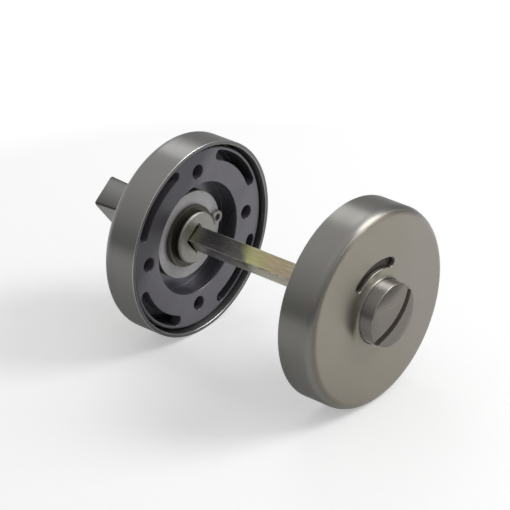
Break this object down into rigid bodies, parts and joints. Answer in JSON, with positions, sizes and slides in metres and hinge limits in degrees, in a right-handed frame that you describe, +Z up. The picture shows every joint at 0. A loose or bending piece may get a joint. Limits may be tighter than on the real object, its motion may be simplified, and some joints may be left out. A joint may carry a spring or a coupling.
{
  "type": "bathroom indicator rose",
  "caption": "Privacy set for a bathroom door: round steel roses, coin release knob with indicator window outside, thumb turn inside, joined by a square spindle.",
  "frame": {"origin": "on the spindle axis, in the bolting face of the outside base plate", "axes": "+Y along the spindle from the outside rose to the inside rose, +Z up, +X to the right as seen from outside"},
  "size_m": [0.053, 0.093, 0.053],
  "materials": {
    "satin_steel": "satin stainless steel, finely brushed",
    "turned_steel": "solid stainless steel, satin",
    "cast_plate": "dull dark grey die casting",
    "plain_steel": "plain pressed steel",
    "spring_steel": "phosphated spring steel",
    "nylon": "natural nylon",
    "disc_black": "brown-black moulded plastic",
    "marker_red": "red moulded plastic",
    "yellow_zinc": "yellow passivated zinc on steel"
  },
  "bodies": {
    "outside_rose": {"outside_cover": "satin_steel", "outside_base_plate": "cast_plate", "outside_snap_ring": "plain_steel", "outside_bush": "nylon", "outside_wave_washer": "plain_steel"},
    "release": {"release_knob": "turned_steel", "indicator_disc": "disc_black", "locked_marker": "marker_red", "outside_washer": "plain_steel", "outside_circlip": "spring_steel"},
    "inside_rose": {"inside_cover": "satin_steel", "inside_base_plate": "cast_plate", "inside_snap_ring": "plain_steel", "inside_bush": "nylon", "inside_wave_washer": "plain_steel"},
    "turn": {"thumb_turn": "turned_steel", "spindle": "yellow_zinc", "grub_screw": "spring_steel", "inside_washer": "plain_steel", "inside_circlip": "spring_steel"}
  },
  "joints": [
    {"name": "door_thickness", "type": "slide", "parent": "outside_rose", "child": "inside_rose", "axis": [0, 1, 0], "range_m": [-0.0035, 0.004]},
    {"name": "turn_spin", "type": "hinge", "parent": "inside_rose", "child": "turn", "pos_m": [0, 0.0495, 0], "axis": [0, 1, 0], "range_deg": [0, 90]},
    {"name": "release_spin", "type": "hinge", "parent": "outside_rose", "child": "release", "pos_m": [0, 0, 0], "axis": [0, 1, 0], "range_deg": [0, 90]}
  ],
  "couplings": [
    {"joint": "release_spin", "follows": "turn_spin", "ratio": 1}
  ]
}
